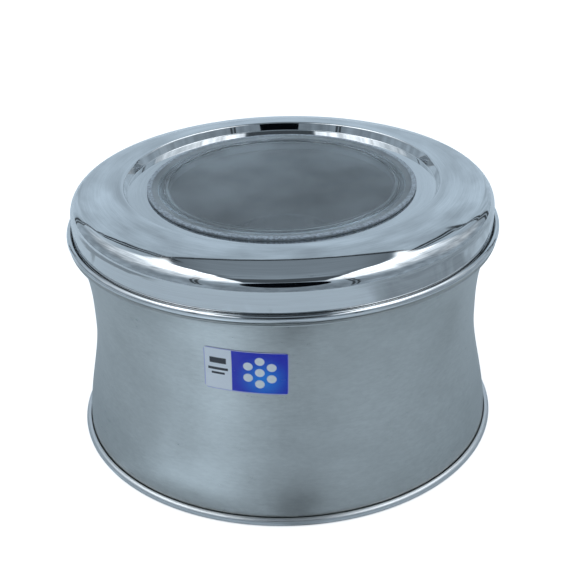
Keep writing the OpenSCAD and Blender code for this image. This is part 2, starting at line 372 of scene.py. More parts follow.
def waves_group():
    """The slow unevenness of pressed sheet, as a height."""

    def build(w, source):
        broad = w.noise(source["Place"], source["Scale"], 1.0)
        small = w.noise(source["Place"], w.times(source["Scale"], 4.3), 2.0)
        return {"Height": w.plus(w.times(broad, 0.85), w.times(small, 0.15))}

    return group("Sheet waves", {"Place": None, "Scale": 22.0}, ["Height"], build)


def handling_group():
    """Soft smudges and a few short scratches left by handling."""

    def build(w, source):
        cloud = w.noise(source["Place"], source["Scale"], 5.0, Distortion=0.6)
        warp = w.vector("MULTIPLY", source["Place"], (1.0, 0.35, 1.7))[0]
        feeds = {"Vector": warp, "Scale": w.times(source["Scale"], 5.0)}
        cells = w.add("ShaderNodeTexVoronoi", feeds, feature="DISTANCE_TO_EDGE").outputs[0]
        hair = w.fall(cells, 0.0, 0.012)
        some = w.step(cloud, 0.56, 0.66)
        return {"Smudge": w.step(cloud, 0.46, 0.72), "Scratch": w.times(hair, some)}

    return group("Handling marks", {"Place": None, "Scale": 26.0}, ["Smudge", "Scratch"], build)


def emptied(owner):
    """Wiring for a material's or world's own tree, with its nodes cleared."""
    owner.use_nodes = True
    owner.node_tree.nodes.clear()
    return Wiring(owner.node_tree)


def new_material(name):
    material = bpy.data.materials.get(name) or bpy.data.materials.new(name)
    w = emptied(material)
    shader = w.add("ShaderNodeBsdfPrincipled")
    w.add("ShaderNodeOutputMaterial", {"Surface": shader.outputs[0]})
    return material, w, shader


def steel(name, colour, rough, brushing, waves, marks):
    """Stainless steel.

    brushing is (lines along, lines across, their depth, roughness added), waves is (scale, depth)
    and marks is the roughness that handling adds.
    """
    material, w, shader = new_material(name)
    place = w.place()
    turning = w.add("ShaderNodeAttribute", attribute_name="turning").outputs["Vector"]
    along, across, depth, added = brushing
    lines = w.shared(lines_group(), Turning=turning, Along=along, Across=across)["Lines"]
    hills = w.shared(waves_group(), Place=place, Scale=waves[0])["Height"]
    wear = w.shared(handling_group(), Place=place)
    dark = rgba(colour, 0.86)
    base = w.tint(lines, dark, rgba(colour, 1.06))
    w.feed(w.tint(w.times(wear["Smudge"], 0.25), base, dark), shader.inputs["Base Color"])
    film = w.times(wear["Smudge"], marks)
    scuff = w.times(wear["Scratch"], 0.15)
    rub = w.plus(w.plus(w.times(lines, added), film), scuff)
    w.feed(w.plus(rub, rough), shader.inputs["Roughness"])
    shader.inputs["Metallic"].default_value = 1.0
    w.feed(w.bump(lines, depth, Normal=w.bump(hills, waves[1])), shader.inputs["Normal"])
    return material, w, shader


def mirror_steel():
    colour = bpy.context.scene.masala_finishes.mirror
    return steel("Mirror steel", colour, 0.02, (5.0, 5200.0, 0.06e-6, 0.012), (26.0, 0.06 * MM), 0.03)[0]


def satin_steel():
    colour = bpy.context.scene.masala_finishes.satin
    brushing = (24.0, 700.0, 14e-6, 0.12)
    material, w, shader = steel("Satin steel", colour, 0.26, brushing, (22.0, 0.3 * MM), 0.12)
    shader.inputs["Anisotropic"].default_value = 0.55
    tangent = w.add("ShaderNodeTangent", direction_type="RADIAL", axis="Z")
    w.feed(tangent.outputs[0], shader.inputs["Tangent"])
    return material


def base_steel():
    colour = bpy.context.scene.masala_finishes.mirror
    return steel("Base steel", colour, 0.27, (6.0, 5000.0, 1e-6, 0.08), (24.0, 0.08 * MM), 0.06)[0]


def bowl_steel():
    colour = bpy.context.scene.masala_finishes.bowl
    return steel("Bowl steel", colour, 0.16, (4.0, 5200.0, 0.8e-6, 0.1), (30.0, 0.08 * MM), 0.06)[0]


def spoon_steel():
    colour = bpy.context.scene.masala_finishes.bowl
    return steel("Spoon steel", colour, 0.1, (3.0, 2600.0, 0.6e-6, 0.06), (40.0, 0.06 * MM), 0.08)[0]


def window_plastic():
    """Clear moulded plastic with a soft haze."""
    looks = bpy.context.scene.masala_finishes
    material, w, shader = new_material("Window plastic")
    place = w.place()
    haze = w.noise(place, 26.0, 2.0)
    cloud = w.ramp(haze, 0.36, 0.64)
    w.feed(w.tint(cloud, rgba(looks.plastic, 0.55), rgba(looks.plastic)), shader.inputs["Base Color"])
    w.feed(w.ramp(haze, 0.3, 0.7, 0.01, 0.05), shader.inputs["Roughness"])
    shader.inputs["IOR"].default_value = 1.49
    shader.inputs["Transmission Weight"].default_value = 0.93
    hills = w.shared(waves_group(), Place=place, Scale=24.0)["Height"]
    w.feed(w.bump(hills, 0.03 * MM), shader.inputs["Normal"])
    return material


def frosted_plastic():
    """The fluted band: pale, rough and finely sparkling."""
    colour = bpy.context.scene.masala_finishes.frosted
    material, w, shader = new_material("Frosted plastic")
    grit = w.noise(w.place(), 900.0, 2.0)
    patchy = w.tint(w.step(grit, 0.35, 0.65), rgba(colour, 0.7), rgba(colour, 1.3))
    w.feed(patchy, shader.inputs["Base Color"])
    w.feed(w.ramp(grit, 0.3, 0.7, 0.35, 0.6), shader.inputs["Roughness"])
    shader.inputs["IOR"].default_value = 1.49
    shader.inputs["Transmission Weight"].default_value = 0.16
    w.feed(w.bump(grit, 0.12 * MM), shader.inputs["Normal"])
    return material


def soft_plastic(name, colour, rough, transmission):
    material, w, shader = new_material(name)
    place = w.place()
    smudge = w.shared(handling_group(), Place=place, Scale=60.0)["Smudge"]
    w.feed(w.tint(smudge, rgba(colour), rgba(colour, 0.88)), shader.inputs["Base Color"])
    w.feed(w.plus(w.times(smudge, 0.12), rough), shader.inputs["Roughness"])
    shader.inputs["Transmission Weight"].default_value = transmission
    hills = w.shared(waves_group(), Place=place, Scale=300.0)["Height"]
    w.feed(w.bump(hills, 0.04 * MM), shader.inputs["Normal"])
    return material


def sticker_print():
    """A generic two-part print: a pale third with grey bars, a blue part with a ring of seven dots."""
    looks = bpy.context.scene.masala_sticker
    material, w, shader = new_material("Sticker print")
    where = w.add("ShaderNodeUVMap", uv_map="UVMap").outputs[0]
    across, up = w.split(where)[:2]
    square = (PRINT_RATIO, 1.0, 0.0)
    glow = w.vector("DISTANCE", w.vector("MULTIPLY", where, square)[0], (1.2, 0.35, 0.0))["Value"]
    blue = w.tint(w.step(glow, 0.0, 0.62), rgba(looks.bright), rgba(looks.deep))

    # Seven dots: one in the middle of the blue part and six in a ring around it
    blue_start, dot_r, ring_r = 0.335, 0.085, 0.27
    middle = Vector((0.665, 0.5))
    turns = [math.radians(60 * i) for i in range(6)]
    spots = [middle] + [middle + ring_r * Vector((math.sin(a) / PRINT_RATIO, math.cos(a))) for a in turns]
    dots = 0.0
    for spot in spots:
        offset = w.vector("SUBTRACT", where, (spot.x, spot.y, 0.0))[0]
        away = w.vector("LENGTH", w.vector("MULTIPLY", offset, square)[0])["Value"]
        dots = w.most(dots, w.fall(away, dot_r, dot_r + 0.02))
    blue = w.tint(dots, blue, rgba((1.0, 1.0, 1.0)))

    # Bars on the pale part: low and high edge, left and right edge
    bars = 0.0
    for low, high, left, right in ((0.62, 0.76, 0.07, 0.27), (0.46, 0.52, 0.05, 0.29), (0.36, 0.41, 0.09, 0.25)):
        bars = w.most(bars, w.times(w.band(up, low, high, 0.008), w.band(across, left, right, 0.004)))
    paper = w.tint(bars, rgba(looks.paper), rgba((0.03, 0.03, 0.04)))

    face = w.tint(w.step(across, blue_start - 0.003, blue_start + 0.003), paper, blue)
    inside = w.times(w.band(across, 0.012, 0.988, 0.004), w.band(up, 0.02, 0.98, 0.006))
    w.feed(w.tint(inside, rgba(looks.edge), face), shader.inputs["Base Color"])
    speck = w.noise(where, 9.0, 3.0)
    w.feed(w.ramp(speck, 0.3, 0.7, 0.16, 0.28), shader.inputs["Roughness"])
    w.feed(w.bump(speck, 0.02 * MM), shader.inputs["Normal"])
    return material


# ---- Outlines, as points of radius and height ----


def arc(centre, radius, start, end, steps=12):
    """Points on an arc about centre, from start to end in degrees."""
    angles = [math.radians(start + (end - start) * i / steps) for i in range(steps + 1)]
    return [Vector((centre[0] + radius * math.cos(a), centre[1] + radius * math.sin(a))) for a in angles]


def straight(a, b, hold=0.12 * MM):
    """The ends of a straight run with a second point close to each, which keeps its shading even."""
    a, b = Vector(a), Vector(b)
    way = (b - a).normalized() * min(hold, (b - a).length / 3)
    return [a, a + way, (a + b) / 2, b - way, b]


def joined(*runs):
    """One path from several runs, without the points that two runs share."""
    path = []
    for run in runs:
        for point in run:
            point = Vector(point)
            if not path or (point - path[-1]).length > SMALL:
                path.append(point)
    return path


def shortened(path, length):
    """The path with that much cut off its end."""
    path = list(path)
    while length > 0:
        last = (path[-1] - path[-2]).length
        if last > length:
            path[-1] = path[-1].lerp(path[-2], length / last)
            return path
        path.pop()
        length -= last
    return path


def right_of(path, i):
    way = (path[min(i + 1, len(path) - 1)] - path[max(i - 1, 0)]).normalized()
    return Vector((way.y, -way.x))


def cap(a, b, steps=6):
    """Half circle from a round to b, to the left of the way from a to b."""
    middle = (a + b) / 2
    arm = a - middle
    side = Vector((-arm.y, arm.x))
    turns = [math.pi * i / steps for i in range(1, steps)]
    return [middle + arm * math.cos(t) + side * math.sin(t) for t in turns]


def sheet(path, thickness, open_start=False):
    """Closed outline of a sheet with one face on the path, the other to its right, and rounded cut edges."""
    half = abs(thickness) / 2
    path = shortened(path, half)
    if not open_start:
        path = shortened(path[::-1], half)[::-1]
    other = [p + right_of(path, i) * thickness for i, p in enumerate(path)]
    if open_start:
        other[0].x = 0.0
    ends = cap(path[-1], other[-1])
    way = path[-1] - path[-2]
    if (ends[len(ends) // 2] - path[-1]).dot(way) < 0:
        ends = [path[-1] + other[-1] - p for p in ends[::-1]]
    outline = path + ends + other[::-1]
    if not open_start:
        start = cap(other[0], path[0])
        way = path[0] - path[1]
        if (start[len(start) // 2] - path[0]).dot(way) < 0:
            start = [path[0] + other[0] - p for p in start[::-1]]
        outline += start
    return outline


def rounded_outline(points, radius, steps=4):
    """Closed outline through corner points, each corner rounded unless it lies on the axis."""
    outline = []
    count = len(points)
    for i in range(count):
        before, here, after = (Vector(points[(i + k) % count]) for k in (-1, 0, 1))
        if here.x < SMALL:
            outline.append(here)
            continue
        a, b = (before - here).normalized(), (after - here).normalized()
        reach = min(radius, (before - here).length * 0.4, (after - here).length * 0.4)
        for k in range(steps + 1):
            t = k / steps
            outline.append(here + a * reach * (1 - t) ** 2 + b * reach * t * t)
    return outline


# ---- New objects and meshes ----


def linked(name, data):
    """A new object with this data, in the scene."""
    made = bpy.data.objects.new(name, data)
    bpy.context.scene.collection.objects.link(made)
    return made


def meshed(shape, name):
    """A new mesh from a bmesh, which is freed."""
    mesh = bpy.data.meshes.new(name)
    shape.to_mesh(mesh)
    shape.free()
    return mesh


# ---- Turning with Geometry Nodes ----


def turning_tree():
    """Turns an outline about Z and, between two radii and above a height, presses every other column in."""
    name = "Turned sheet"
    tree = bpy.data.node_groups.get(name)
    if tree:
        return tree
    tree = bpy.data.node_groups.new(name, "GeometryNodeTree")
    sockets = [
        ("Outline", "Geometry"),
        ("Segments", "Int"),
        ("Flute depth", "Float"),
        ("Flute inner radius", "Float"),
        ("Flute outer radius", "Float"),
        ("Flute floor", "Float"),
        ("Material", "Material"),
    ]
    for key, kind in sockets:
        tree.interface.new_socket(key, in_out="INPUT", socket_type="NodeSocket" + kind)
    tree.interface.new_socket("Geometry", in_out="OUTPUT", socket_type="NodeSocketGeometry")
    w = Wiring(tree)
    given = w.add("NodeGroupInput").outputs
    count = w.add("GeometryNodeAttributeDomainSize", {0: given["Outline"]}).outputs["Point Count"]
    columns = w.plus(given["Segments"], 1.0)
    rows = w.plus(count, 1.0)
    grid = w.add("GeometryNodeMeshGrid", {"Vertices X": rows, "Vertices Y": columns}).outputs["Mesh"]
    index = w.add("GeometryNodeInputIndex").outputs[0]
    row = w.math("FLOOR", w.math("DIVIDE", w.plus(index, 0.5), columns))
    column = w.minus(index, w.times(row, columns))
    around = w.math("FLOORED_MODULO", w.plus(column, 0.25), given["Segments"])
    around = w.math("FLOOR", around)
    pick = w.math("FLOOR", w.math("FLOORED_MODULO", w.plus(row, 0.25), count))

    def sampled(value, kind):
        node = w.add("GeometryNodeSampleIndex", data_type=kind, domain="POINT")
        w.feed(given["Outline"], node.inputs["Geometry"])
        w.feed(value, node.inputs["Value"])
        w.feed(pick, node.inputs["Index"])
        return node.outputs[0]

    spot = sampled(w.add("GeometryNodeInputPosition").outputs[0], "FLOAT_VECTOR")
    named = w.add("GeometryNodeInputNamedAttribute", {"Name": "run"}, data_type="FLOAT").outputs[0]
    run = sampled(named, "FLOAT")
    parts = w.split(spot)
    angle = w.times(w.math("DIVIDE", around, given["Segments"]), math.tau)
    sine, cosine = w.math("SINE", angle), w.math("COSINE", angle)
    odd = w.math("FLOORED_MODULO", around, 2.0)
    beyond = w.math("GREATER_THAN", parts[0], given["Flute inner radius"])
    within = w.math("LESS_THAN", parts[0], given["Flute outer radius"])
    on_top = w.times(beyond, within, w.math("GREATER_THAN", parts[2], given["Flute floor"]))
    press = w.times(odd, on_top, given["Flute depth"])
    x = w.times(parts[0], sine)
    y = w.times(parts[0], cosine)
    z = w.minus(parts[2], press)
    placed = w.add("GeometryNodeSetPosition", {"Geometry": grid, "Position": w.join(x, y, z)})
    stored = w.add("GeometryNodeStoreNamedAttribute", data_type="FLOAT_VECTOR", domain="POINT")
    w.feed(placed.outputs[0], stored.inputs["Geometry"])
    w.feed("turning", stored.inputs["Name"])
    w.feed(w.join(sine, cosine, run), stored.inputs["Value"])
    welded = w.add("GeometryNodeMergeByDistance", {"Geometry": stored.outputs[0], "Distance": 1e-6})
    feeds = {"Geometry": welded.outputs[0], "Shade Smooth": True}
    smooth = w.add("GeometryNodeSetShadeSmooth", feeds, domain="FACE")
    bend = w.add("GeometryNodeInputMeshEdgeAngle").outputs[0]
    sharp = w.math("GREATER_THAN", bend, math.radians(SMOOTH_BEND))
    feeds = {"Geometry": smooth.outputs[0], "Selection": sharp, "Shade Smooth": False}
    creased = w.add("GeometryNodeSetShadeSmooth", feeds, domain="EDGE")
    painted = w.add("GeometryNodeSetMaterial", {"Geometry": creased.outputs[0], "Material": given["Material"]})
    real = w.add("GeometryNodeRealizeInstances", {0: painted.outputs[0]})
    w.add("NodeGroupOutput", {0: real.outputs[0]})
    return tree


def baked(carrier, name):
    """A plain mesh object from a carrier object's evaluated modifiers, with its faces turned outward."""
    view = bpy.context.evaluated_depsgraph_get()
    shaped = carrier.evaluated_get(view)
    mesh = bpy.data.meshes.new_from_object(shaped, preserve_all_data_layers=True, depsgraph=view)
    source = carrier.data
    bpy.data.objects.remove(carrier)
    bpy.data.meshes.remove(source)
    tidy = bmesh.new()
    tidy.from_mesh(mesh)
    bmesh.ops.dissolve_degenerate(tidy, dist=1e-8, edges=tidy.edges)
    bmesh.ops.recalc_face_normals(tidy, faces=tidy.faces)
    tidy.to_mesh(mesh)
    tidy.free()
    return linked(name, mesh)


def turned(name, outline, segments, material, flutes=None):
    """A piece turned from a closed outline of radius and height."""
    mesh = bpy.data.meshes.new(name + "_outline")
    mesh.from_pydata([(p.x, 0.0, p.y) for p in outline], [], [])
    run = mesh.attributes.new("run", "FLOAT", "POINT")
    length = 0.0
    for i, point in enumerate(outline):
        length += (point - outline[max(i - 1, 0)]).length
        run.data[i].value = length
    carrier = linked(name + "_carrier", mesh)
    modifier = carrier.modifiers.new("Turned sheet", "NODES")
    modifier.node_group = turning_tree()
    depth, inner, outer, floor = flutes or (0.0, 1.0, 0.0, 1.0)
    values = {
        "Segments": segments,
        "Flute depth": depth,
        "Flute inner radius": inner,
        "Flute outer radius": outer,
        "Flute floor": floor,
        "Material": material,
    }
    for item in modifier.node_group.interface.items_tree:
        if item.item_type == "SOCKET" and item.name in values:
            modifier[item.identifier] = values[item.name]
    carrier.update_tag()
    bpy.context.view_layer.update()
    return baked(carrier, name)


def handed_in(piece, body, node):
    """Puts a piece under its body's empty and hides the packed node that it stands for."""
    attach(piece, body)
    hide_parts(node)


# ---- The wall and the base ----


def flare(u, k):
    return (3 - k) * u * u + (k - 2) * u**3


def wall_radius(z):
    """Outer radius of the wall at a height."""
    box = bpy.context.scene.masala_box
    seam_h = BASE_HIGH.z
    foot = BASE_HIGH.x - seam_h / 2 - 1.1 * MM
    rim = box.neck_r + 0.5 * MM
    rim_z = WALL_HIGH.z - box.neck_h - 2 * box.bead_r
    if z < box.waist_z:
        return box.waist_r + (foot - box.waist_r) * flare((box.waist_z - z) / (box.waist_z - seam_h), box.foot_flare)
    return box.waist_r + (rim - box.waist_r) * flare((z - box.waist_z) / (rim_z - box.waist_z), box.rim_flare)


def wall_outline():
    box = bpy.context.scene.masala_box
    seam_h = BASE_HIGH.z
    flange_z = seam_h / 2 + box.sheet_t / 2
    foot = wall_radius(seam_h)
    seat = WALL_HIGH.z - box.neck_h
    bead_out = LID_HIGH.x - 0.7 * MM
    bead_z = seat - box.bead_r
    rim_z = bead_z - box.bead_r
    fillet, neck_foot, hem = 0.5 * MM, 0.7 * MM, 0.8 * MM
    steps = 44
    heights = [seam_h + (rim_z - seam_h) * i / steps for i in range(steps + 1)]
    path = joined(
        straight((WALL_HIGH.x, flange_z), (foot + fillet, flange_z)),
        arc((foot + fillet, flange_z + fillet), fillet, 270, 180, 8),
        [(wall_radius(z), z) for z in heights],
        arc((bead_out - box.bead_r, bead_z), box.bead_r, -65, 90, 16),
        arc((box.neck_r + neck_foot, seat + neck_foot), neck_foot, 270, 180, 10),
        arc((box.neck_r - hem, WALL_HIGH.z - hem), hem, 0, 180, 16),
        straight((box.neck_r - 2 * hem, WALL_HIGH.z - hem), (box.neck_r - 2 * hem, WALL_HIGH.z - hem - 1.6 * MM)),
    )
    return sheet(path, -box.sheet_t)


def base_outline():
    box = bpy.context.scene.masala_box
    seam_r = BASE_HIGH.z / 2
    seam_x = BASE_HIGH.x - seam_r
    dish = 0.7 * MM
    dish_x = BASE_HIGH.x - seam_r - box.foot_w
    path = joined(
        straight((0.0, box.panel_lift), (dish_x - 2 * dish, box.panel_lift), 2 * MM),
        arc((dish_x - 2 * dish, box.panel_lift - dish), dish, 90, 0, 10),
        arc((dish_x, dish), dish, 180, 270, 10),
        arc((seam_x, seam_r), seam_r, -90, 90, 22),
        straight((seam_x, BASE_HIGH.z), (seam_x - 0.65 * MM, BASE_HIGH.z)),
    )
    return sheet(path, -box.sheet_t, open_start=True)


class MASALA_OT_wall(bpy.types.Operator):
    """Spin the waisted wall with its stop bead and hemmed neck"""

    bl_idname = "masala.wall"
    bl_label = "Wall"

    def execute(self, context):
        wall = turned("box_wall", wall_outline(), context.scene.masala_box.segments, satin_steel())
        wall.data.materials.append(bowl_steel())
        for face in wall.data.polygons:
            if face.center.xy.dot(face.normal.xy) < 0:
                face.material_index = 1
        handed_in(wall, "box", "body_shell")
        return {"FINISHED"}


class MASALA_OT_base(bpy.types.Operator):
    """Press the dished base with its rolled foot seam"""

    bl_idname = "masala.base"
    bl_label = "Base"

    def execute(self, context):
        base = turned("box_base", base_outline(), context.scene.masala_box.segments, base_steel())
        handed_in(base, "box", "base_plate")
        return {"FINISHED"}


# ---- The sticker ----


def sticker_mesh():
    """A rounded rectangle laid on the wall, as a closed sheet with its own UV map."""
    looks = bpy.context.scene.masala_sticker
    half_w, half_h, corner = looks.width / 2, looks.height / 2, looks.corner_r
    glue = 0.05 * MM
    ups = [-half_h + corner * (1 - math.cos(math.radians(a))) for a in range(0, 90, 10)]
    flats = [half_h * (-1 + 2 * i / 12) for i in range(1, 12)]
    flats = [v for v in flats if abs(v) < half_h - corner]
    levels = ups + [-half_h + corner] + flats + [half_h - corner] + [-v for v in reversed(ups)]
    columns = 40
    shape = bmesh.new()
    layer = shape.loops.layers.uv.new("UVMap")
    places = {}

    def vertex(across, up, lift):
        u = across * math.cos(looks.tilt) - up * math.sin(looks.tilt)
        z = looks.z + across * math.sin(looks.tilt) + up * math.cos(looks.tilt)
        radius = wall_radius(z) + glue + lift
        angle = looks.turned - math.pi / 2 + math.asin(u / radius)
        point = shape.verts.new((radius * math.cos(angle), radius * math.sin(angle), z))
        places[point] = (across / looks.width + 0.5, up / looks.height + 0.5)
        return point

    sides = []
    for lift in (0.0, looks.thickness):
        rows = []
        for up in levels:
            rest = max(abs(up) - (half_h - corner), 0.0)
            width = half_w - corner + math.sqrt(max(corner * corner - rest * rest, 0.0))
            rows.append([vertex(width * (2 * i / columns - 1), up, lift) for i in range(columns + 1)])
        sides.append(rows)
    for rows in sides:
        for low, high in zip(rows, rows[1:]):
            for i in range(columns):
                shape.faces.new((low[i], low[i + 1], high[i + 1], high[i]))
    inner, outer = (
        rows[0] + [row[-1] for row in rows[1:-1]] + rows[-1][::-1] + [row[0] for row in rows[-2:0:-1]] for rows in sides
    )
    count = len(inner)
    for i in range(count):
        k = (i + 1) % count
        shape.faces.new((inner[i], inner[k], outer[k], outer[i]))
    bmesh.ops.recalc_face_normals(shape, faces=shape.faces)
    for face in shape.faces:
        face.smooth = True
        for loop in face.loops:
            loop[layer].uv = places[loop.vert]
    return meshed(shape, "sticker")


class MASALA_OT_sticker(bpy.types.Operator):
    """Lay the printed sticker on the wall"""

    bl_idname = "masala.sticker"
    bl_label = "Sticker"

    def execute(self, context):
        mesh = sticker_mesh()
        mesh.materials.append(sticker_print())
        mesh.set_sharp_from_angle(angle=math.radians(SMOOTH_BEND))
        handed_in(linked("sticker", mesh), "box", "label_sticker")
        return {"FINISHED"}


# ---- The lid and its window ----


def lid_outline():
    box, lid = bpy.context.scene.masala_box, bpy.context.scene.masala_lid
    hole = SEAL_HOLE_R - 0.6 * MM
    ledge_z = SEAL_LOW.z
    bend = lid.bend_r
    roll_x = LID_HIGH.x - lid.roll_r
    roll_z = LID_LOW.z + lid.roll_r
    skirt_x = LID_HIGH.x - 2 * lid.roll_r + box.sheet_t
    skirt_z = roll_z + lid.skirt_h
    crown_in = skirt_x - lid.crown_w
    slope, lean = math.degrees(lid.crown_slope), math.degrees(lid.recess_lean)
    crown_x = crown_in - lid.crown_r * math.sin(lid.crown_slope)
    shoulder_x = skirt_x - lid.shoulder_r
    over = shoulder_x - crown_x
    up = math.sqrt((lid.crown_r - lid.shoulder_r) ** 2 - over * over)
    crown_z = skirt_z - up
    meet = math.degrees(math.atan2(up, over))
    bend_x = crown_in - bend * math.sin(lid.crown_slope)
    bend_z = crown_z + (lid.crown_r - bend) * math.cos(lid.crown_slope)
    foot_z = ledge_z + lid.foot_bend_r
    wall_h = bend_z - foot_z + (bend + lid.foot_bend_r) * math.sin(lid.recess_lean)
    wall_top = bend_x - bend * math.cos(lid.recess_lean)
    foot_x = wall_top - wall_h * math.tan(lid.recess_lean) - lid.foot_bend_r * math.cos(lid.recess_lean)
    path = joined(
        straight((hole, ledge_z), (foot_x, ledge_z), 0.4 * MM),
        arc((foot_x, foot_z), lid.foot_bend_r, 270, 360 - lean, 12),
        arc((bend_x, bend_z), bend, 180 - lean, 90 - slope, 14),
        arc((crown_x, crown_z), lid.crown_r, 90 - slope, meet, 22),
        arc((shoulder_x, skirt_z), lid.shoulder_r, meet, 0, 26),
        straight((skirt_x, skirt_z), (skirt_x, roll_z), 0.4 * MM),
        arc((roll_x, roll_z), lid.roll_r - box.sheet_t, 180, 468, 34),
    )
    return sheet(path, box.sheet_t)


class MASALA_OT_lid(bpy.types.Operator):
    """Press the mirror polished lid"""

    bl_idname = "masala.lid"
    bl_label = "Lid"

    def execute(self, context):
        lid = turned("lid_steel_shell", lid_outline(), context.scene.masala_box.segments, mirror_steel())
        handed_in(lid, "lid", "lid_shell")
        return {"FINISHED"}


def window_radii():
    """Outer, frosted, clear and collar radii of the window."""
    window = bpy.context.scene.masala_window
    frost = PANE_HIGH.x - window.edge_w
    clear = frost - window.frost_w
    return PANE_HIGH.x, frost, clear, clear + COLLAR_REACH


class MASALA_OT_window(bpy.types.Operator):
    """Mould the window with its fluted frosted band and collar"""

    bl_idname = "masala.window"
    bl_label = "Window"

    def execute(self, context):
        window = context.scene.masala_window
        outer, frost, clear, collar = window_radii()
        top = PANE_HIGH.z - window.frost_step
        under = top - window.pane_t
        seat = SEAL_HIGH.z
        lip = (PANE_HIGH.z - seat) / 2
        collar_in = collar - COLLAR_T
        body = rounded_outline(
            [
                (0.0, under),
                (clear + 1.5 * MM, under),
                (collar_in, under - 0.3 * MM),
                (collar_in, PANE_LOW.z),
                (collar, PANE_LOW.z),
                (collar, seat),
            ],
            0.25 * MM,
        )
        band = [frost + (clear - frost) * i / 8 for i in range(9)]
        edge = arc((outer - lip, seat + lip), lip, 270, 450, 14)
        top_face = [Vector((r, PANE_HIGH.z)) for r in band]
        step = [Vector((clear - 0.12 * MM, PANE_HIGH.z - 0.05 * MM)), Vector((clear - 0.3 * MM, top))]
        disc = [Vector((r, top)) for r in PANE_RINGS]
        outline = body + edge + top_face + step + disc
        pane = turned(
            "window",
            outline,
            2 * window.flutes,
            window_plastic(),
            (window.flute_t, clear + 0.5 * MM, frost - 0.4 * MM, PANE_HIGH.z - 0.02 * MM),
        )
        pane.data.materials.append(frosted_plastic())
        pane.data.materials.append(soft_plastic("Window edge", (0.76, 0.84, 0.91), 0.2, 0.1))
        for face in pane.data.polygons:
            reach = face.center.xy.length
            if face.center.z > PANE_HIGH.z - 0.2 * MM and clear < reach < frost:
                face.material_index = 1
            elif reach > frost and face.center.z > seat:
                face.material_index = 2
        handed_in(pane, "lid", "window_pane")
        return {"FINISHED"}


class MASALA_OT_window_fixings(bpy.types.Operator):
    """Mould the window's seal and the ring that locks it in"""

    bl_idname = "masala.window_fixings"
    bl_label = "Seal and lock ring"

    def execute(self, context):
        window = context.scene.masala_window
        clear, collar = window_radii()[2:]
        under = PANE_HIGH.z - window.frost_step - window.pane_t
        web, wall, gap = 0.8 * MM, 1.2 * MM, 0.3 * MM
        seal = rounded_outline(
            [
                (SEAL_HOLE_R, SEAL_LOW.z),
                (SEAL_HIGH.x, SEAL_LOW.z),
                (SEAL_HIGH.x, SEAL_HIGH.z),
                (SEAL_HOLE_R, SEAL_HIGH.z),
            ],
            0.15 * MM,
        )
        seal_piece = turned("window_seal", seal, 192, soft_plastic("Seal rubber", (0.84, 0.87, 0.89), 0.45, 0.2))
        handed_in(seal_piece, "lid", "window_gasket")
        ring = rounded_outline(
            [
                (clear, LOCK_LOW.z),
                (LOCK_HIGH.x, LOCK_LOW.z),
                (LOCK_HIGH.x, LOCK_HIGH.z),
                (collar + gap, LOCK_HIGH.z),
                (collar + gap, LOCK_LOW.z + web),
                (clear + wall, LOCK_LOW.z + web),
                (clear + wall, under),
                (clear, under),
            ],
            0.35 * MM,
        )
        ring_piece = turned("lock_ring", ring, 240, soft_plastic("Milky plastic", (0.74, 0.79, 0.82), 0.35, 0.35))
        handed_in(ring_piece, "lid", "window_lock_ring")
        return {"FINISHED"}


# ---- The bowls and the spoon ----


def bowl_outline():
    bowl = bpy.context.scene.masala_bowls
    height = BOWL_HIGH.z - BOWL_LOW.z
    roll_in = bowl.roll_r - bowl.sheet_t
    wall = BOWL_HIGH.x - 2 * bowl.roll_r + bowl.sheet_t
    lean = math.atan(bowl.taper / (height - bowl.corner_r - bowl.roll_r))
    corner_x = wall - bowl.taper - bowl.corner_r * math.cos(lean)
    corner = arc((corner_x, bowl.corner_r), bowl.corner_r, 270, 360 - math.degrees(lean), 14)
    rim = arc((wall + roll_in, height - bowl.roll_r), roll_in, 180, -95, 16)
    path = joined(straight((0.0, 0.0), corner[0], 1 * MM), corner, straight(corner[-1], rim[0], 0.5 * MM), rim)
    return sheet(path, -bowl.sheet_t, open_start=True)


class MASALA_OT_bowls(bpy.types.Operator):
    """Press seven bowls, one in the middle and six around it"""

    bl_idname = "masala.bowls"
    bl_label = "Bowls"

    def execute(self, context):
        bowl = context.scene.masala_bowls
        material = bowl_steel()
        pattern = turned("bowl_pattern", bowl_outline(), bowl.segments, material)
        places = {"bowl_centre": Vector((0.0, 0.0, BOWL_LOW.z))}
        for i, name in enumerate(BOWLS):
            angle = math.radians(90 - 60 * i)
            places[name] = Vector((bowl.ring_r * math.cos(angle), bowl.ring_r * math.sin(angle), BOWL_LOW.z))
        for name, place in places.items():
            mesh = pattern.data.copy()
            mesh.transform(Matrix.Translation(place))
            handed_in(linked("spice_" + name, mesh), name, name)
        spare = pattern.data
        bpy.data.objects.remove(pattern)
        bpy.data.meshes.remove(spare)
        return {"FINISHED"}


